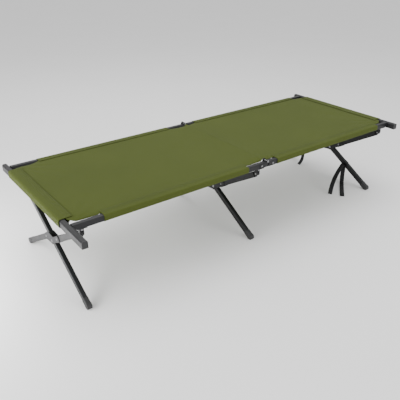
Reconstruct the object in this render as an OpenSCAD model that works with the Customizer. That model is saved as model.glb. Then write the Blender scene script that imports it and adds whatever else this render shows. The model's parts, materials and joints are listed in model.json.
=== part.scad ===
// Folding field bed: fabric stretched between hinged side rails on three X-shaped leg frames.
// X runs along the bed, Y across it, Z up. The front is -Y and the left end is -X.

/* [Bed] */
// Height of the top of the side rails above the floor
bed_height = 430; // [400:5:460]
// Distance between the centre lines of the side rails
rail_spacing = 660; // [620:10:700]
// Half of the length over the side rails
rail_reach = 950; // [940:5:1000]
// Where the rails fold, measured from the middle of the bed
fold_x = 20; // [10:5:40]
// Thickness of the bed fabric
cloth_t = 2.4; // [2:0.2:3]

/* [Tubes] */
// Depth of a side rail
rail_h = 25; // [24:1:28]
// Width of a side rail
rail_w = 22; // [20:1:24]
// Wall of every tube
wall = 1.5; // [1.2:0.1:2]
// Width of a leg tube, across the bed
leg_w = 28; // [26:1:30]
// Thickness of a leg tube, along the bed
leg_t = 20; // [18:1:20]

/* [End bars] */
// Width of an end bar
bar_w = 24; // [22:1:28]
// Depth of an end bar
bar_h = 30; // [28:1:34]
// Chamfer on the top edges of an end bar
bar_chamfer = 5; // [3:0.5:7]
// How far the left end bar runs past the front rail and the back rail
bar_left_past = [135, 42]; // [35:1:150]
// How far the right end bar runs past the front rail and the back rail
bar_right_past = [55, 45]; // [35:1:150]

/* [Leg frames] */
// Places of the left, middle and right leg frames along the bed
leg_x = [-910, -15, 920]; // [-925:1:925]
// Depth of the swing pins below the rails
swing_drop = 14; // [13:0.5:15]
// Depth of a leg's top pin below its swing pin
pin_drop = 21; // [21:0.5:24]
// Distance from a rail's centre line in to its leg pins
pin_inset = 18; // [17:0.5:20]
// Offset of the lower half of a two-piece leg from its upper half
leg_step = 27; // [27:0.5:30]

/* [Pins] */
// Radius of the hinge, swing and leg pins
pin_r = 3; // [2.5:0.1:3.5]
// Radial running clearance of a pin in its bore
run_gap = 0.06; // [0.04:0.01:0.1]
// Radius of the rivets that hold plates to tubes
rivet_r = 2.5; // [2:0.1:3]

/* [Hidden] */
$fn = 32;

FRONT = -1;
BACK = 1;
LEFT = 0;
MIDDLE = 1;
RIGHT = 2;

// The end bars stick out further at the front, so the rails sit off the centre of the whole bed.
mid_y = (max(bar_left_past[0], bar_right_past[0]) - max(bar_left_past[1], bar_right_past[1])) / 2;
rail_y = rail_spacing / 2;
rail_z = bed_height - rail_h;
bar_z = bed_height - bar_h;
touch = 0.01;
fit_gap = 0.3;
tube_r = 3;
tube_r_in = 1.5;
head_h = 2;

// Leg frame, seen along X: both legs pass through the crossing point half way down.
pin_y = rail_y - pin_inset;
swing_z = rail_z - swing_drop;
pin_z = swing_z - pin_drop;
cross_z = pin_z / 2;
slope = atan2(pin_z - cross_z, pin_y);
leg_half = norm([pin_y, pin_z - cross_z]);
foot_wall = 1;
foot_r = leg_w / 2 + foot_wall;
foot_z = 12;
foot_len = 34;
foot_corner = 3.5;
front_foot_at = -(cross_z - foot_z) / sin(slope);
back_foot_at = (cross_z - foot_z + leg_step * cos(slope)) / sin(slope);
tongue_r = 10;
tongue_t = 12;
tongue_len = 14;
insert_len = 8;
upper_start = 57;
lower_start = 44;
cross_r = 4;
plate_t = 2.5;
plate_x = leg_t / 2 + 0.4;
saddle_rivets = [[-72, 0], [60, leg_step]];
saddle_arm = 14;
saddle_r = 17;
saddle_tip = [-86, 62];
web_gap = 0.1;
rivet_head_r = 5;
cross_head_r = 7;

// Hanger and yoke
yoke_half = 9;
cheek_t = 2.5;
cheek_x = tongue_t / 2 + fit_gap;
head_r = 7;
ear_t = 2.2;
base_t = 1.6;
hanger_half = 16;
hanger_rivet_x = 11;
hanger_ear_r = 6;
hanger_head_r = 4;
hanger_head_h = 1.5;

// Middle hinge
hinge_z = bed_height + 4;
fold_gap = 1;
ear_r = 7;
leaf_t = 2;
leaf_len = 46;
leaf_drop = 19;
leaf_rivet_x = 34;
leaf_near = 10;
leaf_shoulder = 12;
leaf_head_r = 4.5;
hinge_head_r = 6;

// End bars and plugs
bar_gap = 1;
flange_gap = 0.2;
plug_len = 12;
bar_x = rail_reach + bar_gap + bar_w / 2;
cap_t = 4;
cap_plug = 16;
stud_r = 4;
stud_len = 9;
stud_z = rail_z + rail_h / 2;
stud_travel = rail_spacing * 0.72;

// Fabric
cloth_gap = 0.3;
sleeve_y = [-275, 280];
middle_cut = [115, 65];
corner_cut = [126, 92];
hinge_notch = [30, 10];
flap_len = 28;
seam_gap = 0.5;
strap_t = 1.6;
strap_w = 25;
loop_at = -142;
back_loop_at = 222;
turn_points = 3;

// Routes of the hanging strap tails, from the leg down to the floor, measured from the rails' middle plane
tail_outer = [[909, -119, 110], [896, -125, 112], [880, -131, 112], [845, -146, 109], [800, -165, 101],
    [760, -181, 86], [728, -194, 64], [708, -202, 40], [697, -207, 18], [692, -209, 4]];
tail_inner = [[909, -121, 105], [899, -128, 99], [894, -132, 78], [888, -136, 45], [878, -145, 20],
    [860, -160, 7], [835, -181, 3], [790, -219, 3], [730, -269, 3]];
tail_back = [[909, 204, 85], [904, 204, 78], [899, 204, 60], [896, 205, 38], [885, 208, 16], [872, 210, 4]];

steel = [0.09, 0.09, 0.095];
bright = [0.72, 0.72, 0.74];
plastic = [0.03, 0.03, 0.03];
olive = [0.36, 0.40, 0.22];
webbing = [0.04, 0.04, 0.045];

// ---- shared shapes ----

// A rectangle with round corners, centred
module round_rect(w, h, r) {
    square([w - 2 * r, h], center = true);
    square([w, h - 2 * r], center = true);
    for (sx = [-1, 1], sy = [-1, 1])
        translate([sx * (w / 2 - r), sy * (h / 2 - r)]) circle(r);
}

module tube_section(w, h) {
    difference() {
        round_rect(w, h, tube_r);
        round_rect(w - 2 * wall, h - 2 * wall, tube_r_in);
    }
}

// Extrudes an outline drawn in X and Z along Y
module along_y(y0, y1) {
    translate([0, y1, 0]) rotate([90, 0, 0]) linear_extrude(y1 - y0) children();
}

// Extrudes an outline drawn in Y and Z along X
module along_x(x0, x1) {
    translate([x0, 0, 0]) rotate([90, 0, 90]) linear_extrude(x1 - x0) children();
}

module rod_x(r, x0, x1) {
    translate([x0, 0, 0]) rotate([0, 90, 0]) cylinder(r = r, h = x1 - x0);
}

module rod_y(r, y0, y1) {
    translate([0, y1, 0]) rotate([90, 0, 0]) cylinder(r = r, h = y1 - y0);
}

// A low rivet head that stands on the plane z = 0
module head(r, h) {
    intersection() {
        translate([0, 0, h - (r * r + h * h) / (2 * h)]) sphere(r = (r * r + h * h) / (2 * h), $fn = 32);
        cylinder(r = r, h = h);
    }
}

// A rivet along X with a head at each end
module rivet_x(r, head_radius, reach) {
    rod_x(r, -reach - touch, reach + touch);
    translate([reach, 0, 0]) rotate([0, 90, 0]) head(head_radius, head_h);
    translate([-reach, 0, 0]) rotate([0, -90, 0]) head(head_radius, head_h);
}

// A rivet along Y with a head at each end
module rivet_y(r, head_radius, y0, y1) {
    rod_y(r, y0 - touch, y1 + touch);
    translate([0, y1, 0]) rotate([-90, 0, 0]) head(head_radius, head_h);
    translate([0, y0, 0]) rotate([90, 0, 0]) head(head_radius, head_h);
}

// Everything is drawn about the rails' middle plane and then moved over by mid_y
module on_bed() {
    translate([0, mid_y, 0]) children();
}

// Puts a drawing made at a rail's centre line on the front or the back rail, inner side towards +Y
module at_rail(side) {
    on_bed() if (side == FRONT) translate([0, -rail_y, 0]) children();
    else translate([0, rail_y, 0]) mirror([0, 1, 0]) children();
}

// ---- side rails ----

function rail_ends(right) = right ? [fold_x + fold_gap, rail_reach] : [-rail_reach, fold_x - fold_gap];
function hanger_places(right) = right ? [leg_x[RIGHT]] : [leg_x[LEFT], leg_x[MIDDLE]];
function leaf_side(right) = right ? 1 : -1;

module rail(side, right) {
    ends = rail_ends(right);
    color(steel) at_rail(side) difference() {
        translate([0, 0, rail_z + rail_h / 2]) along_x(ends[0], ends[1]) tube_section(rail_w, rail_h);
        translate([fold_x + leaf_side(right) * leaf_rivet_x, 0, rail_z + rail_h / 2])
            rod_y(rivet_r, -rail_w, rail_w);
        for (x = hanger_places(right), dx = [-hanger_rivet_x, hanger_rivet_x])
            translate([x + dx, 0, rail_z - touch]) cylinder(r = rivet_r, h = 3 * wall);
    }
}

// Plug in the outer end of a rail, with the stud that holds the end bar
module plug(side, right) {
    color(plastic) at_rail(side) mirror([right ? 0 : 1, 0, 0]) translate([rail_reach, 0, stud_z]) {
        along_x(0, bar_gap - flange_gap) round_rect(rail_w, rail_h, tube_r);
        along_x(-plug_len, touch) round_rect(rail_w - 2 * wall, rail_h - 2 * wall, tube_r_in);
        rod_x(stud_r, 0, bar_gap + stud_len);
    }
}

// ---- leg hangers under the rails ----

// One hanger: a base plate under the rail and two ears that hold the swing pin
module hanger() {
    ear_in = pin_inset + yoke_half + fit_gap;
    ear_out = pin_inset - yoke_half - fit_gap;
    difference() {
        union() {
            translate([-hanger_half, -rail_w / 2, rail_z - base_t])
                cube([2 * hanger_half, rail_w / 2 + ear_in + ear_t, base_t]);
            for (y0 = [ear_out - ear_t, ear_in]) {
                translate([-hanger_ear_r, y0, swing_z])
                    cube([2 * hanger_ear_r, ear_t, swing_drop - base_t + touch]);
                translate([0, 0, swing_z]) rod_y(hanger_ear_r, y0, y0 + ear_t);
            }
        }
        translate([0, 0, swing_z]) rod_y(pin_r, 0, rail_w + ear_in);
        for (dx = [-hanger_rivet_x, hanger_rivet_x])
            translate([dx, 0, rail_z - 2 * base_t]) cylinder(r = rivet_r, h = 3 * base_t);
    }
}

module hangers(side, right) {
    color(steel) at_rail(side) for (x = hanger_places(right)) translate([x, 0, 0]) hanger();
}

// ---- middle hinges ----

module leaf_outline(right) {
    s = leaf_side(right);
    near = right ? leaf_near : fold_gap;
    mid_z = rail_z + rail_h / 2;
    translate([min(s * near, s * leaf_len), mid_z - leaf_drop / 2]) square([leaf_len - near, leaf_drop]);
    polygon([[s * near, mid_z], [s * (near + leaf_shoulder), mid_z + leaf_drop / 2],
        [s * ear_r * 0.6, hinge_z + ear_r * 0.8],
        [-s * ear_r * 0.6, hinge_z - ear_r * 0.8], [s * near, bed_height - 8]]);
    translate([0, hinge_z]) circle(ear_r);
}

// A hinge leaf: two side plates that rise to the pin. The right leaf's plates pass outside the left ones.
module leaf(side, right) {
    inner = rail_w / 2;
    thick = right ? 2 * leaf_t + 2 * fit_gap : leaf_t;
    ear_from = right ? leaf_t + 2 * fit_gap : 0;
    color(steel) at_rail(side) for (s = [-1, 1]) {
        y_in = s * (inner + ear_from);
        y_out = s * (inner + thick);
        translate([fold_x, 0, 0]) difference() {
            union() {
                along_y(min(y_in, y_out), max(y_in, y_out)) leaf_outline(right);
                if (right)
                    translate([leaf_near, s > 0 ? inner : y_in - touch, rail_z + (rail_h - leaf_drop) / 2])
                        cube([leaf_len - leaf_near, ear_from + touch, leaf_drop]);
            }
            translate([0, 0, hinge_z]) rod_y(right ? pin_r + run_gap : pin_r, -rail_w, rail_w);
            translate([leaf_side(right) * leaf_rivet_x, 0, rail_z + rail_h / 2])
                rod_y(rivet_r, -rail_w, rail_w);
        }
    }
}

// Pins and rivets that stay with one half rail
module rail_pins(side, right) {
    leaf_out = rail_w / 2 + (right ? 2 * leaf_t + 2 * fit_gap : leaf_t);
    ear_in = pin_inset + yoke_half + fit_gap + ear_t;
    ear_out = pin_inset - yoke_half - fit_gap - ear_t;
    hinge_out = rail_w / 2 + 2 * leaf_t + 3 * fit_gap;
    color(bright) at_rail(side) {
        translate([fold_x + leaf_side(right) * leaf_rivet_x, 0, rail_z + rail_h / 2])
            rivet_y(rivet_r, leaf_head_r, -leaf_out, leaf_out);
        for (x = hanger_places(right)) {
            translate([x, 0, swing_z]) rivet_y(pin_r, rivet_head_r, ear_out, ear_in);
            for (dx = [-hanger_rivet_x, hanger_rivet_x]) translate([x + dx, 0, rail_z - base_t]) {
                rotate([180, 0, 0]) head(hanger_head_r, hanger_head_h);
                translate([0, 0, -touch]) cylinder(r = rivet_r, h = base_t + wall + touch);
                translate([0, 0, base_t + wall]) head(hanger_head_r, hanger_head_h);
            }
        }
        if (!right) translate([fold_x, 0, hinge_z]) rivet_y(pin_r, hinge_head_r, -hinge_out, hinge_out);
    }
}

// ---- yokes ----

// Swings on the hanger's pin and holds the top of a leg between its cheeks
module yoke(side, frame) {
    color(steel) at_rail(side) translate([leg_x[frame], pin_inset, 0]) difference() {
        union() {
            translate([0, 0, swing_z]) rod_y(head_r, -yoke_half, yoke_half);
            for (s = [-1, 1]) {
                x_in = s * cheek_x;
                x_out = s * (cheek_x + cheek_t);
                translate([min(x_in, x_out), -yoke_half, pin_z])
                    cube([cheek_t, 2 * yoke_half, pin_drop + 4]);
                translate([0, 0, pin_z]) rod_x(yoke_half, min(x_in, x_out), max(x_in, x_out));
            }
        }
        translate([0, 0, swing_z]) rod_y(pin_r + run_gap, -rail_w, rail_w);
        translate([0, 0, pin_z]) rod_x(pin_r + run_gap, -rail_w, rail_w);
    }
}

// ---- legs ----

// The frame of a leg that rises to the back (1) or to the front (-1): Y along it, X along the bed
module leg_axis(frame, dir) {
    on_bed() translate([leg_x[frame], 0, cross_z]) rotate([dir * slope, 0, 0]) children();
}

// Solid end of a leg tube with the flat tongue that the leg pin goes through, pointing to +Y
module leg_top() {
    along_y(leg_half - tongue_len - insert_len, leg_half - tongue_len)
        round_rect(leg_t, leg_w, tube_r);
    translate([-tongue_t / 2, leg_half - tongue_len - touch, -tongue_r])
        cube([tongue_t, tongue_len + touch, 2 * tongue_r]);
    translate([0, leg_half, 0]) rod_x(tongue_r, -tongue_t / 2, tongue_t / 2);
}

// The straight leg: back rail to front foot
module front_leg(frame) {
    color(steel) leg_axis(frame, 1) difference() {
        union() {
            along_y(front_foot_at, leg_half - tongue_len - insert_len + touch) tube_section(leg_t, leg_w);
            leg_top();
        }
        translate([0, leg_half, 0]) rod_x(pin_r, -leg_t, leg_t);
        rod_x(cross_r + run_gap, -leg_t, leg_t);
    }
}

// Upper half of the two-piece leg: front rail to saddle
module back_leg_upper(frame) {
    color(steel) leg_axis(frame, -1) difference() {
        mirror([0, 1, 0]) union() {
            along_y(upper_start, leg_half - tongue_len - insert_len + touch) tube_section(leg_t, leg_w);
            leg_top();
        }
        translate([0, -leg_half, 0]) rod_x(pin_r, -leg_t, leg_t);
        translate([0, saddle_rivets[0][0], saddle_rivets[0][1]]) rod_x(rivet_r, -leg_t, leg_t);
    }
}

// Lower half of the two-piece leg: saddle to back foot
module back_leg_lower(frame) {
    color(steel) leg_axis(frame, -1) difference() {
        translate([0, 0, leg_step]) along_y(lower_start, back_foot_at) tube_section(leg_t, leg_w);
        translate([0, saddle_rivets[1][0], saddle_rivets[1][1]]) rod_x(rivet_r, -leg_t, leg_t);
    }
}

module leg_pin(dir) {
    translate([0, dir * leg_half, 0]) rivet_x(pin_r, rivet_head_r, cheek_x + cheek_t + fit_gap);
}

module front_leg_pin(frame) {
    color(bright) leg_axis(frame, 1) leg_pin(1);
}

// Outline of a saddle plate in the two-piece leg's frame
module saddle_outline() {
    circle(saddle_r);
    translate([saddle_tip[0], 0]) circle(saddle_arm);
    translate([saddle_tip[0], -saddle_arm]) square([60, 2 * saddle_arm]);
    translate([saddle_tip[1], leg_step]) circle(saddle_arm);
    polygon([[-30, -saddle_arm], [0, -saddle_r], [14, -10], [66, leg_step - saddle_arm + 0.5],
        [saddle_tip[1], leg_step + saddle_arm], [10, leg_step + saddle_arm], [-30, saddle_arm]]);
}

// Stamped bracket that joins the halves and straddles the straight leg
module saddle(frame) {
    color(steel) leg_axis(frame, -1) {
        for (s = [-1, 1]) {
            x_in = s * plate_x;
            x_out = s * (plate_x + plate_t);
            difference() {
                along_x(min(x_in, x_out), max(x_in, x_out)) saddle_outline();
                rod_x(cross_r, -rail_w, rail_w);
                for (r = saddle_rivets) translate([0, r[0], r[1]]) rod_x(rivet_r, -rail_w, rail_w);
            }
        }
        // webs that tie the two plates together beside the tubes
        web = 2 * plate_x + 2 * touch;
        translate([-web / 2, saddle_tip[0] - 10, -leg_w / 2 - plate_t]) cube([web, 36, plate_t - web_gap]);
        translate([-web / 2, saddle_tip[1] - 15, leg_step + leg_w / 2 + web_gap])
            cube([web, 18, plate_t - web_gap]);
    }
}

module back_leg_rivets(frame) {
    color(bright) leg_axis(frame, -1) {
        leg_pin(-1);
        rivet_x(cross_r, cross_head_r, plate_x + plate_t);
        for (r = saddle_rivets) translate([0, r[0], r[1]]) rivet_x(rivet_r, rivet_head_r, plate_x + plate_t);
    }
}

// Plastic cap on the lower end of a leg, cut flat where it stands on the floor
module foot_cap(dir, at, step, frame) {
    toward = at > 0 ? -1 : 1;
    color(plastic) intersection() {
        leg_axis(frame, dir) translate([0, at, step]) difference() {
            union() {
                along_y(min(0, toward * foot_len), max(0, toward * foot_len))
                    round_rect(leg_t + 2 * foot_wall, 2 * foot_r, foot_corner);
                rod_x(foot_r, -leg_t / 2 - foot_wall, leg_t / 2 + foot_wall);
            }
            along_y(min(0, toward * rail_spacing), max(0, toward * rail_spacing))
                round_rect(leg_t, leg_w, tube_r);
        }
        translate([leg_x[frame] - foot_len, -rail_spacing, 0])
            cube([2 * foot_len, 2 * rail_spacing, 2 * foot_len]);
    }
}

module front_foot(frame) {
    foot_cap(1, front_foot_at, 0, frame);
}

module back_foot(frame) {
    foot_cap(-1, back_foot_at, leg_step, frame);
}

// ---- end bars ----

function bar_ends(right) = right
    ? [-rail_y - bar_right_past[0], rail_y + bar_right_past[1]]
    : [-rail_y - bar_left_past[0], rail_y + bar_left_past[1]];

// Outline of an end bar, drawn inset from the bar's outer faces
module bar_outline(inset) {
    w = bar_w / 2 - inset;
    c = bar_chamfer - 0.6 * inset;
    translate([0, bar_z]) polygon([[-w, inset], [w, inset], [w, bar_h - inset - c],
        [w - c, bar_h - inset], [-w + c, bar_h - inset], [-w, bar_h - inset - c]]);
}

module at_end(right) {
    on_bed() translate([right ? bar_x : -bar_x, 0, 0]) mirror([right ? 0 : 1, 0, 0]) children();
}

// The back hole runs inwards as a slot, which leaves the stud free while the legs close
module end_bar(right) {
    ends = bar_ends(right);
    color(steel) at_end(right) difference() {
        along_y(ends[0] + cap_t, ends[1] - cap_t) difference() {
            bar_outline(0);
            bar_outline(wall);
        }
        for (y = [-rail_y, rail_y]) translate([-bar_w, y, stud_z]) rod_x(stud_r + run_gap, 0, bar_w);
        translate([-bar_w, rail_y - stud_travel, stud_z - stud_r - run_gap])
            cube([bar_w, stud_travel, 2 * stud_r + 2 * run_gap]);
    }
}

module bar_caps(right) {
    ends = bar_ends(right);
    color(plastic) at_end(right) {
        along_y(ends[0], ends[0] + cap_t) bar_outline(0);
        along_y(ends[1] - cap_t, ends[1]) bar_outline(0);
        along_y(ends[0] + cap_t - touch, ends[0] + cap_plug) bar_outline(wall);
        along_y(ends[1] - cap_plug, ends[1] - cap_t + touch) bar_outline(wall);
    }
}

// ---- fabric ----

module cloth_sleeve(side, x0, x1) {
    grow = cloth_gap + cloth_t;
    at_rail(side) difference() {
        translate([x0, -rail_w / 2 - grow, rail_z - grow])
            cube([x1 - x0, rail_w + 2 * grow, rail_h + 2 * grow]);
        translate([x0 - 1, -rail_w / 2 - cloth_gap, rail_z - cloth_gap])
            cube([x1 - x0 + 2, rail_w + 2 * cloth_gap, rail_h + 2 * cloth_gap]);
    }
}

// Half of the bed: a sheet with a sleeve around each rail, left open at the corner and at the middle hinge,
// and notched where the hinge stands up beside the rail
module bed_fabric(right) {
    outer = rail_reach - cloth_gap - cloth_t + bar_gap - seam_gap;
    sheet_y = rail_y - rail_w / 2 - cloth_gap;
    x0 = right ? fold_x + middle_cut[1] : -rail_reach + corner_cut[0];
    x1 = right ? rail_reach - corner_cut[1] : fold_x - middle_cut[0];
    z = bed_height + cloth_gap;
    color(olive) {
        on_bed() difference() {
            translate([right ? fold_x + seam_gap : -outer, -sheet_y, z])
                cube([right ? outer - fold_x - seam_gap : outer + fold_x - seam_gap, 2 * sheet_y, cloth_t]);
            for (s = [-1, 1]) translate([fold_x, s * sheet_y, z + cloth_t / 2])
                cube([2 * hinge_notch[0], 2 * hinge_notch[1], 2 * cloth_t], center = true);
        }
        for (side = [FRONT, BACK]) cloth_sleeve(side, x0, x1);
    }
}

// Sleeve around an end bar with a flap that tucks under the bed fabric
module end_sleeve(right) {
    grow = cloth_gap + cloth_t;
    flap_z = bed_height - cloth_t - cloth_gap;
    color(olive) at_end(right) {
        difference() {
            translate([-bar_w / 2 - grow, sleeve_y[0], bar_z - grow])
                cube([bar_w + 2 * grow, sleeve_y[1] - sleeve_y[0], bar_h + 2 * grow]);
            translate([-bar_w / 2 - cloth_gap, sleeve_y[0] - 1, bar_z - cloth_gap])
                cube([bar_w + 2 * cloth_gap, sleeve_y[1] - sleeve_y[0] + 2, bar_h + 2 * cloth_gap]);
        }
        translate([-bar_w / 2 - grow - flap_len, sleeve_y[0], flap_z])
            cube([flap_len + touch, sleeve_y[1] - sleeve_y[0], cloth_t]);
    }
}

// ---- tie straps ----

function unit(v) = v / norm(v);
function leg_dir(dir) = [0, cos(slope), dir * sin(slope)];
function level_across(route) = unit(cross([0, 0, 1], route[len(route) - 1] - route[0]));
function heading(route, i) = unit(route[min(i + 1, len(route) - 1)] - route[max(i - 1, 0)]);

// Corners of the strap's section at point i: flat side facing the direction that the route bends in
function strap_ring(route, i, across) =
    let (h = heading(route, i), n = unit(cross(across, h)))
    [for (c = [[-1, -1], [1, -1], [1, 1], [-1, 1]])
        route[i] + across * c[0] * strap_w / 2 + n * c[1] * strap_t / 2];

// A flat strap that follows a route. Its width starts out along one direction and turns to another.
module strap_tail(route, from, to) {
    points = [for (i = [0:len(route) - 1])
        each strap_ring(route, i, unit(from + (to - from) * min(1, i / turn_points)))];
    sides = [for (i = [0:len(route) - 2], k = [0:3])
        each let (a = 4 * i + k, b = 4 * i + (k + 1) % 4) [[a, b, b + 4], [a, b + 4, a + 4]]];
    end = 4 * (len(route) - 1);
    polyhedron(points, concat(sides, [[3, 2, 1, 0], [end, end + 1, end + 2, end + 3]]));
}

// A loop of strap around a leg tube
module strap_loop() {
    inner_w = leg_t + 2 * fit_gap;
    inner_h = leg_w + 2 * fit_gap;
    difference() {
        along_y(-strap_w / 2, strap_w / 2)
            round_rect(inner_w + 2 * strap_t, inner_h + 2 * strap_t, tube_r + strap_t);
        along_y(-strap_w, strap_w) round_rect(inner_w, inner_h, tube_r);
    }
}

module front_leg_strap() {
    color(webbing) {
        leg_axis(RIGHT, 1) translate([0, loop_at, 0]) strap_loop();
        on_bed() strap_tail(tail_outer, -leg_dir(1), level_across(tail_outer));
        on_bed() strap_tail(tail_inner, -leg_dir(1), level_across(tail_inner));
    }
}

module back_leg_strap() {
    color(webbing) {
        leg_axis(RIGHT, -1) translate([0, back_loop_at, leg_step]) strap_loop();
        on_bed() strap_tail(tail_back, -leg_dir(-1), [0, -1, 0]);
    }
}

rail(FRONT, false);  // front_rail_left
rail(FRONT, true);  // front_rail_right
rail(BACK, false);  // back_rail_left
rail(BACK, true);  // back_rail_right
plug(FRONT, false);  // front_plug_left
plug(FRONT, true);  // front_plug_right
plug(BACK, false);  // back_plug_left
plug(BACK, true);  // back_plug_right
hangers(FRONT, false);  // front_hangers_left
hangers(FRONT, true);  // front_hanger_right
hangers(BACK, false);  // back_hangers_left
hangers(BACK, true);  // back_hanger_right
leaf(FRONT, false);  // front_leaf_left
leaf(FRONT, true);  // front_leaf_right
leaf(BACK, false);  // back_leaf_left
leaf(BACK, true);  // back_leaf_right
rail_pins(FRONT, false);  // front_pins_left
rail_pins(FRONT, true);  // front_pins_right
rail_pins(BACK, false);  // back_pins_left
rail_pins(BACK, true);  // back_pins_right
yoke(FRONT, LEFT);  // yoke_front_left
yoke(FRONT, MIDDLE);  // yoke_front_middle
yoke(FRONT, RIGHT);  // yoke_front_right
yoke(BACK, LEFT);  // yoke_back_left
yoke(BACK, MIDDLE);  // yoke_back_middle
yoke(BACK, RIGHT);  // yoke_back_right
front_leg(LEFT);  // front_leg_left
front_leg(MIDDLE);  // front_leg_middle
front_leg(RIGHT);  // front_leg_right
front_foot(LEFT);  // front_foot_left
front_foot(MIDDLE);  // front_foot_middle
front_foot(RIGHT);  // front_foot_right
front_leg_pin(LEFT);  // front_leg_pin_left
front_leg_pin(MIDDLE);  // front_leg_pin_middle
front_leg_pin(RIGHT);  // front_leg_pin_right
back_leg_upper(LEFT);  // back_leg_upper_left
back_leg_upper(MIDDLE);  // back_leg_upper_middle
back_leg_upper(RIGHT);  // back_leg_upper_right
back_leg_lower(LEFT);  // back_leg_lower_left
back_leg_lower(MIDDLE);  // back_leg_lower_middle
back_leg_lower(RIGHT);  // back_leg_lower_right
saddle(LEFT);  // saddle_left
saddle(MIDDLE);  // saddle_middle
saddle(RIGHT);  // saddle_right
back_foot(LEFT);  // back_foot_left
back_foot(MIDDLE);  // back_foot_middle
back_foot(RIGHT);  // back_foot_right
back_leg_rivets(LEFT);  // back_leg_rivets_left
back_leg_rivets(MIDDLE);  // back_leg_rivets_middle
back_leg_rivets(RIGHT);  // back_leg_rivets_right
end_bar(false);  // end_bar_left
end_bar(true);  // end_bar_right
bar_caps(false);  // bar_caps_left
bar_caps(true);  // bar_caps_right
bed_fabric(false);  // bed_fabric_left
bed_fabric(true);  // bed_fabric_right
end_sleeve(false);  // end_sleeve_left
end_sleeve(true);  // end_sleeve_right
front_leg_strap();
back_leg_strap();
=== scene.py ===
import json
import math

import bpy
import numpy as np
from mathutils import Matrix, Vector


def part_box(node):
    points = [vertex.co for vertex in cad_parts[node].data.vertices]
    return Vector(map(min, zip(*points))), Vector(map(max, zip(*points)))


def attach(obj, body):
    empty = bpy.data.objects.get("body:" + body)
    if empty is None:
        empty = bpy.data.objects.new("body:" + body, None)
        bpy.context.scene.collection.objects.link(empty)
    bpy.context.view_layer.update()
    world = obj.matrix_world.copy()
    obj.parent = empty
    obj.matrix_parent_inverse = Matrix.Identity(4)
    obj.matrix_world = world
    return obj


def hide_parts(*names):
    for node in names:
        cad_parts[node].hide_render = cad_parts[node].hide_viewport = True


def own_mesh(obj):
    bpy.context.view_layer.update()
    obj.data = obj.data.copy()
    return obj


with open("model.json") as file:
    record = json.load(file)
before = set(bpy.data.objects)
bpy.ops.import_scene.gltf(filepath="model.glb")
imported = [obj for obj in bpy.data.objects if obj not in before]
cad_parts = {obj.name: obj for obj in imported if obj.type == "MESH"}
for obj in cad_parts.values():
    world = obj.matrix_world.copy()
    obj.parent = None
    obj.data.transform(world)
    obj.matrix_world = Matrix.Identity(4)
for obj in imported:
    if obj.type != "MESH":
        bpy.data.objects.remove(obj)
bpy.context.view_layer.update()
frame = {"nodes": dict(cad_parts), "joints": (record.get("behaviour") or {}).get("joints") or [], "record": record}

# ---- dimensions, all in metres and worked out from the frame ----

JOINTS = {j["name"]: j for j in frame["joints"]}
FRONT_LOW, FRONT_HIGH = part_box("front_rail_left")
BACK_LOW, BACK_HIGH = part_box("back_rail_left")
_, RIGHT_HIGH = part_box("front_rail_right")
FRONT_Y = (FRONT_LOW.y + FRONT_HIGH.y) / 2
BACK_Y = (BACK_LOW.y + BACK_HIGH.y) / 2
MID_Y = (FRONT_Y + BACK_Y) / 2
RAIL_Y = (BACK_Y - FRONT_Y) / 2
RAIL_HALF = (FRONT_HIGH.y - FRONT_LOW.y) / 2
RAIL_TOP = FRONT_HIGH.z
RAIL_LOW = FRONT_LOW.z
RAIL_REACH = RIGHT_HIGH.x
FOLD_X, _, FOLD_Z = JOINTS["rail_fold"]["pos_m"]

CLOTH = 0.0012          # thickness of the bed cloth
COVER = 0.0015          # outer face of the cloth above the tube that it covers
TOP_Z = RAIL_TOP + 0.0012
SAG = 0.0030            # how far the middle of the bed hangs
SEAM_IN = 0.030         # from a rail's centre line in to the sleeve's seam
LAP = 0.008             # how far the panel runs on under a sleeve
CORNER_CUT = {"left": 0.126, "right": 0.092}
MIDDLE_CUT = {"left": 0.115, "right": 0.065}
END_FLAP = 0.042        # from an end bar's centre line in to its sleeve's seam
FREE_EDGE = RAIL_Y - RAIL_HALF - 0.0050  # half width of the panel where it has no sleeve
HOLLOW = 0.0060         # how far a free edge curves in between its ends
DROOP = 0.010           # how far a free edge hangs between its ends
FOLD_GAP = 0.0003       # half of the gap between the two halves of the cloth at the fold
FOLD_SPREAD = 0.13      # how far from the fold the cloth starts to rise to it
PANEL_END = RAIL_REACH - 0.002  # the panel's ends, just inside the rails' ends
GRID_STEP = 0.006       # between the rows of a cloth grid
FINE_REACH = 0.036      # how far from the fold the panel's rows lie closer together

# ---- the legs' slope, from the joints, for the strap loops ----

LEG_SLOPE = math.atan2(
    JOINTS["legs_close"]["pos_m"][2] - JOINTS["cross_left"]["pos_m"][2],
    JOINTS["cross_left"]["pos_m"][1] - JOINTS["legs_close"]["pos_m"][1],
)


# ---- camera ----

def make_camera():
    """The view of the product picture: from the left front corner, a little above."""
    data = bpy.data.cameras.new("camera")
    data.sensor_width = 36
    data.lens = 45.49
    camera = bpy.data.objects.new("camera", data)
    bpy.context.scene.collection.objects.link(camera)
    camera.location = (-1.5342, MID_Y - 1.8786, 1.3599)
    camera.rotation_euler = (math.radians(62.43), 0, math.radians(-37.07))
    bpy.context.scene.camera = camera


make_camera()


# ---- node materials ----

def wire(tree, kind, inputs=None, **settings):
    """Adds a shader node. An input is a value, or another node's output."""
    n = tree.nodes.new(kind)
    for name, value in settings.items():
        setattr(n, name, value)
    for key, value in (inputs or {}).items():
        if isinstance(value, bpy.types.NodeSocket):
            tree.links.new(value, n.inputs[key])
        else:
            n.inputs[key].default_value = value
    return n


def calc(tree, operation, a, b=0.0, c=0.0):
    return wire(tree, "ShaderNodeMath", {0: a, 1: b, 2: c}, operation=operation).outputs[0]


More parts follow.
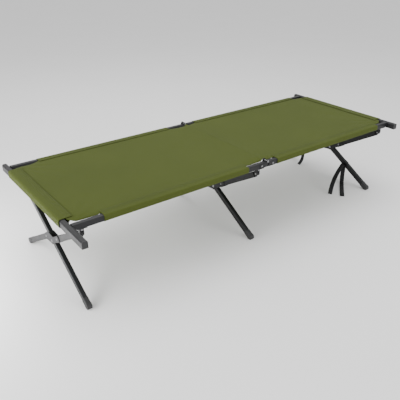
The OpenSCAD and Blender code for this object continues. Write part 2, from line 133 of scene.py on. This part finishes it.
def blend_colors(tree, factor, a, b, how="MIX"):
    n = wire(tree, "ShaderNodeMix", {0: factor, 6: a, 7: b}, data_type="RGBA", blend_type=how)
    return n.outputs[2]


def stretch(tree, value, low, high, to_low, to_high):
    inputs = {"Value": value, "From Min": low, "From Max": high, "To Min": to_low, "To Max": to_high}
    return wire(tree, "ShaderNodeMapRange", inputs).outputs[0]


def noise_value(tree, where, scale, detail=2.0, rough=0.5):
    inputs = {"Vector": where, "Scale": scale, "Detail": detail, "Roughness": rough}
    return wire(tree, "ShaderNodeTexNoise", inputs).outputs["Fac"]


def start_material(name):
    material = bpy.data.materials.new(name)
    material.use_nodes = True
    tree = material.node_tree
    where = wire(tree, "ShaderNodeTexCoord").outputs["Object"]
    return material, tree, tree.nodes["Principled BSDF"], where


def add_bump(tree, shader, height, distance, strength=1.0):
    inputs = {"Height": height, "Distance": distance, "Strength": strength}
    tree.links.new(wire(tree, "ShaderNodeBump", inputs).outputs[0], shader.inputs["Normal"])


def shades(color, factor):
    return (color[0] * factor, color[1] * factor, color[2] * factor, 1)


def paint_material(name, color):
    """Semi-gloss powder coat: fine orange peel, rubbed and dusty patches, a few scratches."""
    material, tree, shader, where = start_material(name)
    broad = noise_value(tree, where, 9.0, 4.0, 0.6)
    fine = noise_value(tree, where, 420.0, 2.0, 0.55)
    long = wire(tree, "ShaderNodeMapping", {"Vector": where, "Scale": (40, 260, 260)}).outputs[0]
    scratch = stretch(tree, noise_value(tree, long, 1.0, 3.0, 0.7), 0.66, 0.72, 0.0, 1.0)
    base = blend_colors(tree, broad, shades(color, 0.86), shades(color, 1.16))
    worn = blend_colors(tree, calc(tree, "MULTIPLY", scratch, 0.35), base, shades(color, 2.4))
    tree.links.new(worn, shader.inputs["Base Color"])
    tree.links.new(stretch(tree, broad, 0.3, 0.7, 0.36, 0.50), shader.inputs["Roughness"])
    shader.inputs["Specular IOR Level"].default_value = 0.27
    add_bump(tree, shader, fine, 0.0002, 0.5)
    return material


def zinc_material(name):
    """Bright zinc plate on pins and rivet heads."""
    material, tree, shader, where = start_material(name)
    cloudy = noise_value(tree, where, 160.0, 3.0, 0.6)
    base = blend_colors(tree, cloudy, (0.16, 0.16, 0.165, 1), (0.34, 0.34, 0.35, 1))
    tree.links.new(base, shader.inputs["Base Color"])
    tree.links.new(stretch(tree, cloudy, 0.3, 0.7, 0.34, 0.50), shader.inputs["Roughness"])
    shader.inputs["Metallic"].default_value = 1.0
    add_bump(tree, shader, noise_value(tree, where, 900.0), 0.0001, 0.4)
    return material


def plastic_material(name, color):
    """Moulded black plastic: spark-eroded grain and scuffs near the floor."""
    material, tree, shader, where = start_material(name)
    broad = noise_value(tree, where, 60.0, 4.0, 0.65)
    height = wire(tree, "ShaderNodeSeparateXYZ", {0: where}).outputs["Z"]
    near_floor = stretch(tree, height, 0.0, 0.02, 1.0, 0.0)
    scuff = calc(tree, "MULTIPLY", near_floor, stretch(tree, broad, 0.45, 0.65, 0.0, 0.5))
    scuffed = blend_colors(tree, scuff, shades(color, 1.0), (0.10, 0.095, 0.09, 1))
    tree.links.new(scuffed, shader.inputs["Base Color"])
    tree.links.new(stretch(tree, broad, 0.3, 0.7, 0.5, 0.68), shader.inputs["Roughness"])
    add_bump(tree, shader, noise_value(tree, where, 1100.0, 1.0), 0.0002, 0.5)
    return material


def weave_height(tree, where, thread, around_bar):
    """Plain weave: threads along and across take turns on top. The sleeves' sides carry it on downwards."""
    axes = wire(tree, "ShaderNodeSeparateXYZ", {0: where}).outputs
    wrapped = calc(tree, "ADD", axes["X" if around_bar else "Y"], axes["Z"])
    straight = axes["Y" if around_bar else "X"]
    turns = math.pi / thread
    waves = [calc(tree, "SINE", calc(tree, "MULTIPLY", c, turns)) for c in (wrapped, straight)]
    over = calc(tree, "GREATER_THAN", calc(tree, "MULTIPLY", waves[0], waves[1]), 0.0)
    lifts = [calc(tree, "ABSOLUTE", w) for w in waves]
    first = calc(tree, "MULTIPLY", lifts[0], over)
    second = calc(tree, "MULTIPLY", lifts[1], calc(tree, "SUBTRACT", 1.0, over))
    return calc(tree, "ADD", first, second)


def cloth_material(name, color, around_bar=False):
    """Coated olive cloth: woven threads with painted shade in the gaps between them, slubs, slight fading and
    creases.
    """
    material, tree, shader, where = start_material(name)
    weave = weave_height(tree, where, 0.0011, around_bar)
    broad = noise_value(tree, where, 4.0, 4.0, 0.55)
    slub = wire(tree, "ShaderNodeMapping", {"Vector": where, "Scale": (60, 900, 900)}).outputs[0]
    slubs = noise_value(tree, slub, 1.0, 2.0, 0.6)
    fading = stretch(tree, broad, 0.3, 0.7, 0.0, 1.0)
    faded = blend_colors(tree, fading, shades(color, 0.93), shades(color, 1.07))
    flecked = blend_colors(tree, stretch(tree, slubs, 0.35, 0.65, 0.0, 1.0), faded, shades(color, 1.10))
    half = blend_colors(tree, 0.5, faded, flecked)
    # Painted shade: where the weave is low, between the threads, the colour is darkened towards 0.8 of the
    # cloth's.
    weave_painted_shade = blend_colors(tree, stretch(tree, weave, 0.1, 0.8, 0.0, 1.0), shades(color, 0.80), half)
    tree.links.new(blend_colors(tree, 0.55, half, weave_painted_shade), shader.inputs["Base Color"])
    tree.links.new(stretch(tree, slubs, 0.3, 0.7, 0.72, 0.86), shader.inputs["Roughness"])
    shader.inputs["Specular IOR Level"].default_value = 0.08
    shader.inputs["Sheen Weight"].default_value = 0.02
    shader.inputs["Sheen Roughness"].default_value = 0.5
    creases = noise_value(tree, where, 26.0, 5.0, 0.6)
    height = calc(tree, "ADD", calc(tree, "MULTIPLY", creases, 2.2), weave)
    add_bump(tree, shader, height, 0.00035, 0.55)
    return material


def thread_material(name, color):
    """Sewing thread, twisted."""
    material, tree, shader, where = start_material(name)
    twist = noise_value(tree, where, 1500.0, 1.0)
    twisted = blend_colors(tree, twist, shades(color, 0.7), shades(color, 1.25))
    tree.links.new(twisted, shader.inputs["Base Color"])
    shader.inputs["Roughness"].default_value = 0.6
    add_bump(tree, shader, twist, 0.0002, 0.6)
    return material


def webbing_material(name, color):
    """Black webbing: ribs across the strap, painted darker between them and lighter on their crests as painted
    shade and highlight, and a slight shine.
    """
    material, tree, shader, where = start_material(name)
    axes = wire(tree, "ShaderNodeSeparateXYZ", {0: where}).outputs
    level = calc(tree, "ADD", axes["X"], axes["Y"])
    along = calc(tree, "SUBTRACT", level, calc(tree, "MULTIPLY", axes["Z"], 1.4))
    ribs = calc(tree, "ABSOLUTE", calc(tree, "SINE", calc(tree, "MULTIPLY", along, math.pi / 0.0018)))
    fuzz = noise_value(tree, where, 700.0, 2.0)
    mixed = calc(tree, "MULTIPLY", ribs, stretch(tree, fuzz, 0.3, 0.7, 0.6, 1.0))
    # Painted shade and highlight: the ribs' hollows are darkened to 0.55 and their crests lightened to 1.5 of the
    # webbing colour.
    rib_painted_light = blend_colors(tree, mixed, shades(color, 0.55), shades(color, 1.5))
    tree.links.new(rib_painted_light, shader.inputs["Base Color"])
    tree.links.new(stretch(tree, fuzz, 0.3, 0.7, 0.5, 0.7), shader.inputs["Roughness"])
    shader.inputs["Specular IOR Level"].default_value = 0.25
    add_bump(tree, shader, mixed, 0.0005, 0.8)
    return material


OLIVE = (0.062, 0.079, 0.0155)
PAINT = paint_material("black_powder_coat", (0.011, 0.011, 0.012))
ZINC = zinc_material("zinc_plate")
PLASTIC = plastic_material("moulded_plastic", (0.016, 0.016, 0.017))
CLOTH_MATERIAL = cloth_material("olive_cloth", OLIVE)
SLEEVE_MATERIAL = cloth_material("olive_cloth_around_bar", OLIVE, around_bar=True)
THREAD = thread_material("olive_thread", (0.050, 0.062, 0.016))
WEBBING = webbing_material("black_webbing", (0.010, 0.010, 0.011))
SLOT_MATERIALS = {"black_steel": PAINT, "bright_steel": ZINC, "black_plastic": PLASTIC,
                  "olive_fabric": CLOTH_MATERIAL, "black_webbing": WEBBING}


def dress_cad_nodes():
    """Gives every CAD node the finish of its material slot."""
    for part in frame["record"]["subparts"]:
        node = frame["nodes"][part["node"]]
        node.data.materials.clear()
        node.data.materials.append(SLOT_MATERIALS[part["material_slot"]])


# ---- mesh helpers ----

def mesh_object(name, points, faces, material):
    mesh = bpy.data.meshes.new(name)
    mesh.from_pydata([tuple(p) for p in points], [], faces)
    mesh.validate()
    mesh.update()
    mesh.materials.append(material)
    for polygon in mesh.polygons:
        polygon.use_smooth = True
    piece = bpy.data.objects.new(name, mesh)
    bpy.context.scene.collection.objects.link(piece)
    return piece


def bake_modifiers(piece):
    """Replaces the piece's mesh with what its modifiers make of it."""
    graph = bpy.context.evaluated_depsgraph_get()
    made = bpy.data.meshes.new_from_object(piece.evaluated_get(graph))
    piece.modifiers.clear()
    piece.data = made
    return piece


def cloth_grid(name, grid, material, thickness=CLOTH):
    """A sheet of cloth from a grid of points, whose normals face outwards. It thickens inwards."""
    grid = np.asarray(grid, float)
    rows, columns = grid.shape[:2]
    faces = [(r * columns + c, r * columns + c + 1, (r + 1) * columns + c + 1, (r + 1) * columns + c)
             for r in range(rows - 1) for c in range(columns - 1)]
    piece = mesh_object(name, grid.reshape(-1, 3), faces, material)
    solid = piece.modifiers.new("thickness", "SOLIDIFY")
    solid.thickness = thickness
    solid.offset = -1
    return bake_modifiers(piece)


def smooth_step(t):
    t = np.clip(t, 0, 1)
    return t * t * (3 - 2 * t)


def rounded_path(corners, radius, spacing):
    """A polyline through 2D corners with round bends, and points about spacing apart."""
    corners = [np.array(c, float) for c in corners]
    path = [corners[0]]
    for before, corner, after in zip(corners, corners[1:], corners[2:]):
        back, on = before - corner, after - corner
        cut = min(radius, 0.45 * np.linalg.norm(back), 0.45 * np.linalg.norm(on))
        start = corner + back / np.linalg.norm(back) * cut
        end = corner + on / np.linalg.norm(on) * cut
        for t in np.linspace(0, 1, 6):
            path.append((1 - t) ** 2 * start + 2 * t * (1 - t) * corner + t * t * end)
    path.append(corners[-1])
    dense = [path[0]]
    for a, b in zip(path, path[1:]):
        steps = max(1, round(np.linalg.norm(b - a) / spacing))
        dense += [a + (b - a) * (i + 1) / steps for i in range(steps)]
    return np.array(dense)


def ripple(u, v, size):
    """Smooth irregular waves about size long, from -1 to 1."""
    waves = ((1.0, 0.3, 0.0), (-0.6, 1.1, 1.7), (0.4, -0.9, 4.1), (1.7, 0.8, 2.6), (-1.3, 1.9, 5.2))
    total = sum(np.sin(2 * math.pi * (a * u + b * v) / size + p) for a, b, p in waves)
    return total / len(waves)


# ---- bed cloth ----

def panel_ends(side):
    return (-PANEL_END, FOLD_X - FOLD_GAP) if side == "left" else (FOLD_X + FOLD_GAP, PANEL_END)


def sleeve_ends(side):
    if side == "left":
        return -RAIL_REACH + CORNER_CUT["left"], FOLD_X - MIDDLE_CUT["left"]
    return FOLD_X + MIDDLE_CUT["right"], RAIL_REACH - CORNER_CUT["right"]


def free_share(x):
    """How far along a free edge x is: 0 at its ends, 1 half way. The cuts are two corners and the middle."""
    cuts = ((-PANEL_END, sleeve_ends("left")[0]), (sleeve_ends("left")[1], sleeve_ends("right")[0]),
            (sleeve_ends("right")[1], PANEL_END))
    return sum(np.maximum(np.sin(math.pi * np.clip((x - low) / (high - low), 0, 1)), 0) for low, high in cuts)


def edge_reach(x, side):
    """Half width of the panel at x: pulled in a little along the free edges, narrower under the sleeves."""
    start, end = sleeve_ends(side)
    inside = smooth_step((x - start - 0.005) / 0.02) * smooth_step((end - 0.005 - x) / 0.02)
    corner = np.clip(1 - (PANEL_END - np.abs(x)) / 0.05, 0, 1)
    free = FREE_EDGE - HOLLOW * free_share(x) - 0.032 * corner ** 2.5
    return free * (1 - inside) + (RAIL_Y - SEAM_IN + LAP) * inside


def corner_wrinkles(x, y):
    """Shallow folds that run out from the four corners, where the bars pull the cloth."""
    total = np.zeros_like(x)
    for cx, cy in ((-RAIL_REACH, -1), (-RAIL_REACH, 1), (RAIL_REACH, -1), (RAIL_REACH, 1)):
        dx, dy = x - cx, y - (MID_Y + cy * FREE_EDGE)
        away = np.hypot(dx, dy)
        angle = np.arctan2(np.abs(dy), np.abs(dx))
        fade = smooth_step(away / 0.05) * np.exp(-away / 0.16)
        total += fade * np.sin(17 * angle + 2.0 * cy + (1.3 if cx > 0 else 0.2))
    return total * (1 - 0.85 * smooth_step((np.abs(x) - RAIL_REACH + 0.075) / 0.025))


def off_fold_share(x):
    """0 on the fold's own axis, 1 a little way off it."""
    return np.clip(np.abs(x - FOLD_X) / 0.012, 0, 1)


def cloth_top(x, y):
    """Height of the bed's upper face."""
    across = (y - MID_Y) / FREE_EDGE
    along = x / RAIL_REACH
    z = TOP_Z - SAG * (1 - across ** 2) * (1 - along ** 6)
    z = z + 0.0007 * ripple(x, y, 0.42) * (1 - across ** 4) + 0.0011 * corner_wrinkles(x, y)
    near_seam = np.exp(-np.abs(np.abs(y - MID_Y) - (RAIL_Y - SEAM_IN)) / 0.022)
    z = z + 0.00025 * near_seam * ripple(x, y * 0.2, 0.055)
    near_edge = np.clip((np.abs(y - MID_Y) - FREE_EDGE + 0.05) / 0.05, 0, 1)
    off_fold = off_fold_share(x)
    z = z - DROOP * np.sqrt(free_share(x)) * near_edge ** 2 * off_fold
    rise = 0.93 * np.clip(1 - np.abs(x - FOLD_X) / FOLD_SPREAD, 0, 1) ** 1.5 * (1 - near_edge * off_fold)
    return z + (FOLD_Z - z) * rise


def bed_panel(side):
    """The taut middle of one half of the bed. It ends just short of the fold's own axis."""
    start, end = panel_ends(side)
    fine = np.concatenate(([FOLD_GAP], np.linspace(0.002, FINE_REACH, 18)))
    steps = round((end - start - FINE_REACH) / GRID_STEP)
    if side == "left":
        xs = np.concatenate([np.linspace(start, FOLD_X - FINE_REACH, steps), FOLD_X - fine[-2::-1]])
    else:
        xs = np.concatenate([FOLD_X + fine[:-1], np.linspace(FOLD_X + FINE_REACH, end, steps)])
    share = np.linspace(-1, 1, 109)
    x = np.repeat(xs[:, None], len(share), 1)
    reach = edge_reach(x, side)
    y = MID_Y + share[None, :] * reach
    z = cloth_top(x, y)
    low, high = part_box(f"end_bar_{side}")
    start_sleeve, end_sleeve = sleeve_ends(side)
    inside = smooth_step((x - start_sleeve) / 0.01) * smooth_step((end_sleeve - x) / 0.01)
    hem = smooth_step(1 - (reach - np.abs(y - MID_Y)) / 0.010) * (1 - inside)
    under = smooth_step(1 - (RAIL_Y - SEAM_IN + LAP - np.abs(y - MID_Y)) / (LAP + 0.004)) * inside
    flap_from = RAIL_REACH + (high.x - low.x) / 2 - END_FLAP
    under_flap = smooth_step((np.abs(x) - flap_from + 0.008) / 0.008)
    z = z + 0.0006 * hem * off_fold_share(x) * (1 - under_flap) - 0.0016 * np.maximum(under, under_flap)
    piece = cloth_grid(f"bed_panel_{side}", np.stack([x, y, z], -1)[:, ::-1], CLOTH_MATERIAL)
    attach(piece, f"front_{side}")
    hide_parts(f"bed_fabric_{side}")
    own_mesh(piece)
    return piece


def sleeve_profile():
    """Section of a side sleeve: how far in from the rail's centre line, and how high."""
    outer = RAIL_HALF + COVER
    corners = [(SEAM_IN - 0.001, TOP_Z - 0.0060),
               (outer + 0.001, RAIL_LOW - COVER), (-outer, RAIL_LOW - COVER),
               (-outer, RAIL_TOP + COVER), (SEAM_IN, TOP_Z + 0.0020)]
    return rounded_path(corners, 0.006, 0.004)


def place_on_rail(where, inwards):
    return (FRONT_Y + inwards) if where == "front" else (BACK_Y - inwards)


def side_sleeve(where, side):
    """The cloth folded round a side rail and sewn back to itself."""
    start, end = sleeve_ends(side)
    profile = sleeve_profile()
    count = round((end - start) / GRID_STEP)
    xs = np.linspace(start, end, count)
    x = np.repeat(xs[:, None], len(profile), 1)
    inwards = np.repeat(profile[None, :, 0], count, 0)
    z = np.repeat(profile[None, :, 1], count, 0)
    share = np.linspace(0, 1, len(profile))[None, :]
    from_end = np.minimum(x - start, end - x)
    hem = 0.0005 * smooth_step((0.014 - from_end) / 0.003)
    flare = 0.0012 * np.exp(-from_end / 0.006)
    on_side = np.exp(-((share - 0.56) / 0.10) ** 2)
    below = np.exp(-((share - 0.15) / 0.12) ** 2)
    pucker = 0.0004 * ripple(x, share * 0.3, 0.07) * (1 - on_side * 0.4)
    inwards = inwards - (hem + flare + pucker + 0.0003) * on_side
    z = z - (0.0004 + 0.0002 * ripple(x, share, 0.16)) * below
    z = z + 0.0003 * ripple(x, share * 0.1, 0.05) * smooth_step((share - 0.8) / 0.1)
    sag = cloth_top(x, place_on_rail("front", inwards)) - TOP_Z
    z = z + np.where(inwards > RAIL_HALF, sag * smooth_step((inwards - RAIL_HALF) / 0.03), 0.0)
    grid = np.stack([x, place_on_rail(where, inwards), z], -1)
    if where == "back":
        grid = grid[::-1]
    piece = cloth_grid(f"side_sleeve_{where}_{side}", grid[::-1], CLOTH_MATERIAL)
    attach(piece, f"{where}_{side}")
    return piece


def bar_profile():
    """Section of an end sleeve: how far in from the bar's centre line, and how high."""
    low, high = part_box("end_bar_left")
    half = (high.x - low.x) / 2 + COVER
    top = high.z + COVER
    chamfer = 0.0055
    corners = [(END_FLAP - 0.008, TOP_Z - 0.0085), (half + 0.001, low.z - COVER), (-half, low.z - COVER),
               (-half, top - chamfer), (-half + chamfer, top), (END_FLAP, TOP_Z + 0.0003)]
    return rounded_path(corners, 0.003, 0.004)


def end_sleeve(side):
    """The cloth folded round an end bar, with its seam on top of the panel."""
    out = -1 if side == "left" else 1
    low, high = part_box(f"end_bar_{side}")
    middle = (low.x + high.x) / 2
    sleeve_low, sleeve_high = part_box(f"end_sleeve_{side}")
    profile = bar_profile()
    count = round((sleeve_high.y - sleeve_low.y) / GRID_STEP)
    ys = np.linspace(sleeve_low.y, sleeve_high.y, count)
    y = np.repeat(ys[:, None], len(profile), 1)
    inwards = np.repeat(profile[None, :, 0], count, 0)
    z = np.repeat(profile[None, :, 1], count, 0)
    share = np.linspace(0, 1, len(profile))[None, :]
    x = middle - out * inwards
    on_top = smooth_step((share - 0.68) / 0.06)
    below = np.exp(-((share - 0.14) / 0.12) ** 2)
    sag = cloth_top(x, y) - TOP_Z
    z = z + on_top * smooth_step((inwards - 0.012) / 0.02) * sag
    z = z - below * (0.002 + 0.001 * ripple(y, share, 0.13))
    z = z + 0.0003 * on_top * ripple(y, share * 0.1, 0.05)
    from_end = np.minimum(y - sleeve_low.y, sleeve_high.y - y)
    face = np.exp(-((share - 0.58) / 0.08) ** 2)
    x = x + out * face * (0.0005 * smooth_step((0.012 - from_end) / 0.003) + 0.0004 * ripple(y, share, 0.06))
    grid = np.stack([x, y, z], -1)
    if side == "left":
        grid = grid[::-1]
    piece = cloth_grid(f"end_sleeve_cloth_{side}", grid, SLEEVE_MATERIAL)
    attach(piece, f"end_bar_{side}")
    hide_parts(f"end_sleeve_{side}")
    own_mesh(piece)
    return piece


# ---- stitching ----

STITCH_RADIUS = 0.00045
STITCH_LENGTH = 0.0034
STITCH_PITCH = 0.0046
SEAM_ROWS = (0.004, 0.012)  # the two rows of stitches, from a sleeve's seam back towards its tube
ROW_SHORT = 0.003       # how far a row stops short of the sleeve's end


def stitch_mesh(points, faces, middle, along, up):
    """Adds one stitch: a spindle that lies along the seam."""
    side = along.cross(up)
    base = len(points)
    half = along * STITCH_LENGTH / 2
    points += [middle - half - up * STITCH_RADIUS, middle + half - up * STITCH_RADIUS]
    ring = [(side, 0.0), (side * 0.6, 1.0), (-side * 0.6, 1.0), (-side, 0.0)]
    for share in (-0.3, 0.3):
        for aside, lift in ring:
            offset = (aside + up * lift) * STITCH_RADIUS
            points.append(middle + along * STITCH_LENGTH * share + offset)
    for k in range(4):
        a, b = base + 2 + k, base + 2 + (k + 1) % 4
        faces += [(a, b, b + 4, a + 4), (base, b, a), (base + 1, a + 4, b + 4)]


def surface_finder(piece):
    """A function that gives the height of the piece's upper face at (x, y)."""
    graph = bpy.context.evaluated_depsgraph_get()
    shown = piece.evaluated_get(graph)

    def height(x, y):
        hit, where, _, _ = shown.ray_cast(Vector((x, y, RAIL_TOP + 0.1)), Vector((0, 0, -1)))
        return where.z if hit else None
    return height


def stitch_rows(name, carrier, rows):
    """Sews rows of stitches, each from one (x, y) to another, onto the carrier's upper face."""
    height = surface_finder(carrier)
    points, faces = [], []
    for start, end in rows:
        start, end = Vector((*start, 0)), Vector((*end, 0))
        along = (end - start).normalized()
        count = int((end - start).length / STITCH_PITCH)
        for i in range(count):
            middle = start + along * (i + 0.5) * STITCH_PITCH
            z = height(middle.x, middle.y)
            if z is not None:
                middle.z = z + STITCH_RADIUS * 0.3
                stitch_mesh(points, faces, middle, along, Vector((0, 0, 1)))
    piece = mesh_object(name, points, faces, THREAD)
    return piece


def sew_side_sleeve(where, side, sleeve):
    start, end = sleeve_ends(side)
    rows = []
    for inwards in (SEAM_IN - SEAM_ROWS[0], SEAM_IN - SEAM_ROWS[1], 0.014):
        y = place_on_rail(where, inwards)
        rows.append(((start + ROW_SHORT, y), (end - ROW_SHORT, y)))
    for x in (start + 0.010, end - 0.010):
        row_end = place_on_rail(where, SEAM_IN - SEAM_ROWS[1])
        rows.append(((x, place_on_rail(where, -0.006)), (x, row_end)))
    stitches = stitch_rows(f"stitches_{where}_{side}", sleeve, rows)
    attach(stitches, f"{where}_{side}")


def sew_end_sleeve(side, sleeve):
    low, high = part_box(f"end_bar_{side}")
    middle = (low.x + high.x) / 2
    sleeve_low, sleeve_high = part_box(f"end_sleeve_{side}")
    inwards = 1 if side == "left" else -1
    rows = []
    for reach in (END_FLAP - SEAM_ROWS[0], END_FLAP - SEAM_ROWS[1], 0.020):
        x = middle + inwards * reach
        rows.append(((x, sleeve_low.y + ROW_SHORT), (x, sleeve_high.y - ROW_SHORT)))
    stitches = stitch_rows(f"stitches_end_{side}", sleeve, rows)
    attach(stitches, f"end_bar_{side}")
    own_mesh(stitches)


def sew_panel(side, panel):
    """Hems along the free edges."""
    start, end = panel_ends(side)
    rows = []
    sleeve_start, sleeve_end = sleeve_ends(side)
    if side == "left":
        free = ((start + 0.05, sleeve_start), (sleeve_end, FOLD_X - 0.008))
    else:
        free = ((FOLD_X + 0.008, sleeve_start), (sleeve_end, end - 0.05))
    for low, high in free:
        for face in (-1, 1):
            y = MID_Y + face * (FREE_EDGE - HOLLOW - 0.007)
            rows.append(((low, y), (high, y)))
    stitches = stitch_rows(f"stitches_panel_{side}", panel, rows)
    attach(stitches, f"front_{side}")
    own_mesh(stitches)


# ---- tie straps ----

STRAP_WIDTH = 0.025
STRAP_THICK = 0.0016
STRAP_OFF_LEG = 0.0009  # from a leg tube's face to the middle of the strap round it
LEG_HALF_WIDTH = 0.014
LEG_STEP = 0.027        # from a two-piece leg's upper line to its lower one
LOOP_FRONT = -0.142     # places of the loops along the legs, from the crossing
LOOP_BACK = 0.222
# Routes of the hanging tails, in millimetres from the rails' middle plane, the same as the CAD part's.
TAIL_OUTER = ((909, -119, 110), (896, -125, 112), (880, -131, 112), (845, -146, 109), (800, -165, 101),
              (760, -181, 86), (728, -194, 64), (708, -202, 40), (697, -207, 18), (692, -209, 4))
TAIL_INNER = ((909, -121, 105), (899, -128, 99), (894, -132, 78), (888, -136, 45), (878, -145, 20),
              (860, -160, 7), (835, -181, 3), (790, -219, 3), (730, -269, 3))
TAIL_BACK = ((909, 204, 85), (904, 204, 78), (899, 204, 60), (896, 205, 38), (885, 208, 16), (872, 210, 4))
TURN_STEPS = 18         # points of the route over which a tail's width turns


def smooth_route(route, steps=6):
    """A smooth curve through a route's points, which are in millimetres from the rails' middle plane."""
    points = [Vector(p) / 1000 + Vector((0, MID_Y, 0)) for p in route]
    padded = [points[0] * 2 - points[1], *points, points[-1] * 2 - points[-2]]
    curve = []
    for p0, p1, p2, p3 in zip(padded, padded[1:], padded[2:], padded[3:]):
        for i in range(steps):
            t = i / steps
            curve.append(0.5 * (2 * p1 + (p2 - p0) * t + (2 * p0 - 5 * p1 + 4 * p2 - p3) * t * t
                                + (3 * p1 - p0 - 3 * p2 + p3) * t ** 3))
    return [*curve, points[-1]]


def band_section():
    """A flat strap's section with round edges: (across, through) pairs."""
    half, thick = STRAP_WIDTH / 2, STRAP_THICK / 2
    side = [(half - thick + thick * math.cos(a), thick * math.sin(a))
            for a in (math.radians(d) for d in (-90, -45, 0, 45, 90))]
    upper = [(half * s, thick * 0.88) for s in (0.5, 0, -0.5)]
    other = [(-a, -t) for a, t in side]
    lower = [(-a, -t) for a, t in upper]
    return [*side, *upper, *other, *lower]


def swept_band(name, route, across, closed=False):
    """Sweeps the strap's section along a route. across holds the direction of its width at each point."""
    section = band_section()
    points, faces = [], []
    count = len(route)
    for i, place in enumerate(route):
        before = route[i - 1] if closed else route[max(i - 1, 0)]
        after = route[(i + 1) % count] if closed else route[min(i + 1, count - 1)]
        heading = (after - before).normalized()
        through = across[i].cross(heading).normalized()
        level = heading.cross(through)
        for a, t in section:
            points.append(place + level * a + through * t)
    n = len(section)
    for i in range(count if closed else count - 1):
        here, there = i * n, (i + 1) % count * n
        for k in range(n):
            faces.append((here + k, here + (k + 1) % n, there + (k + 1) % n, there + k))
    if not closed:
        faces.append(tuple(reversed(range(n))))
        faces.append(tuple(range((count - 1) * n, count * n)))
    piece = mesh_object(name, points, faces, WEBBING)
    return piece


def route_length(route, closed=False):
    ends = zip(route, [*route[1:], route[0]] if closed else route[1:])
    return sum((b - a).length for a, b in ends)


def strap_tail(name, route, body, first, last=None):
    """A hanging strap, whose width turns from one direction at the leg to another."""
    curve = smooth_route(route)
    last = last or Vector((0, 0, 1)).cross(curve[-1] - curve[0]).normalized()
    shares = [min(1, i / TURN_STEPS) for i in range(len(curve))]
    piece = swept_band(name, curve, [first.lerp(last, t).normalized() for t in shares])
    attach(piece, body)
    route_length(curve)
    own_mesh(piece)
    return piece


def strap_loop(name, middle, slope, body):
    """A loop of strap round a leg tube that slopes in the Y-Z plane."""
    low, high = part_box("front_leg_right")
    half_x = (high.x - low.x) / 2 + STRAP_OFF_LEG
    half_w = LEG_HALF_WIDTH + STRAP_OFF_LEG
    along = Vector((0, math.cos(slope), math.sin(slope)))
    side = Vector((0, -math.sin(slope), math.cos(slope)))
    corners = [(0, half_w), (half_x, half_w), (half_x, -half_w),
               (-half_x, -half_w), (-half_x, half_w), (0, half_w)]
    outline = rounded_path(corners, 0.004, 0.004)[:-1]
    route = [middle + Vector((1, 0, 0)) * a + side * b for a, b in outline]
    piece = swept_band(name, route, [along] * len(route), closed=True)
    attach(piece, body)
    route_length(route, True)
    return piece


def make_straps():
    cross = Vector(JOINTS["cross_right"]["pos_m"])
    front = cross + Vector((0, math.cos(LEG_SLOPE), math.sin(LEG_SLOPE))) * LOOP_FRONT
    loop = strap_loop("strap_loop_front", front, LEG_SLOPE, "front_leg_right")
    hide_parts("front_leg_strap")
    down = Vector((0, math.cos(LEG_SLOPE), -math.sin(LEG_SLOPE)))
    out = Vector((0, math.sin(LEG_SLOPE), math.cos(LEG_SLOPE)))
    back = cross + down * LOOP_BACK + out * LEG_STEP
    loop = strap_loop("strap_loop_back", back, -LEG_SLOPE, "back_leg_right")
    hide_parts("back_leg_strap")
    up_leg = Vector((0, -math.cos(LEG_SLOPE), -math.sin(LEG_SLOPE)))
    strap_tail("strap_tail_outer", TAIL_OUTER, "front_leg_right", up_leg)
    strap_tail("strap_tail_inner", TAIL_INNER, "front_leg_right", up_leg)
    strap_tail("strap_tail_back", TAIL_BACK, "back_leg_right", -down, Vector((0, -1, 0)))


# ---- floor, light ----

def make_floor():
    material, tree, shader, where = start_material("pale_floor")
    soft = noise_value(tree, where, 2.0)
    pale = blend_colors(tree, soft, (0.88, 0.88, 0.88, 1), (0.91, 0.91, 0.91, 1))
    tree.links.new(pale, shader.inputs["Base Color"])
    shader.inputs["Roughness"].default_value = 0.9
    size = 14
    corners = [(-size, -size, 0), (size, -size, 0), (size, size, 0), (-size, size, 0)]
    floor = mesh_object("floor", corners, [(0, 1, 2, 3)], material)


def area_light(name, place, target, size, power):
    data = bpy.data.lights.new(name, "AREA")
    data.shape = "RECTANGLE"
    data.size, data.size_y = size
    data.energy = power
    light = bpy.data.objects.new(name, data)
    bpy.context.scene.collection.objects.link(light)
    light.location = place
    light.visible_camera = False
    light.rotation_euler = (Vector(target) - Vector(place)).to_track_quat("-Z", "Y").to_euler()


def make_lights():
    world = bpy.data.worlds.new("studio")
    bpy.context.scene.world = world
    world.use_nodes = True
    background = world.node_tree.nodes["Background"]
    background.inputs["Color"].default_value = (1, 1, 1, 1)
    background.inputs["Strength"].default_value = 0.95
    area_light("key_left", (-4.2, -0.4, 1.6), (0, 0, 0.3), (2.4, 1.6), 110)
    area_light("front", (1.2, -3.8, 2.2), (0, 0, 0.3), (3.0, 1.8), 60)
    area_light("top", (0.3, 0.3, 3.6), (0, 0, 0.4), (3.5, 2.5), 75)
    area_light("back", (0.3, 3.0, 2.6), (-0.9, -0.3, 0.43), (2.5, 1.5), 12)
    area_light("floor_patch", (-1.8, 0.45, 0.5), (-1.8, 0.45, 0), (1.2, 1.2), 22)


# ---- making ----

make_straps()
dress_cad_nodes()
for half in ("left", "right"):
    panel = bed_panel(half)
    sew_panel(half, panel)
    sew_end_sleeve(half, end_sleeve(half))
    for rail in ("front", "back"):
        sew_side_sleeve(rail, half, side_sleeve(rail, half))
make_floor()
make_lights()
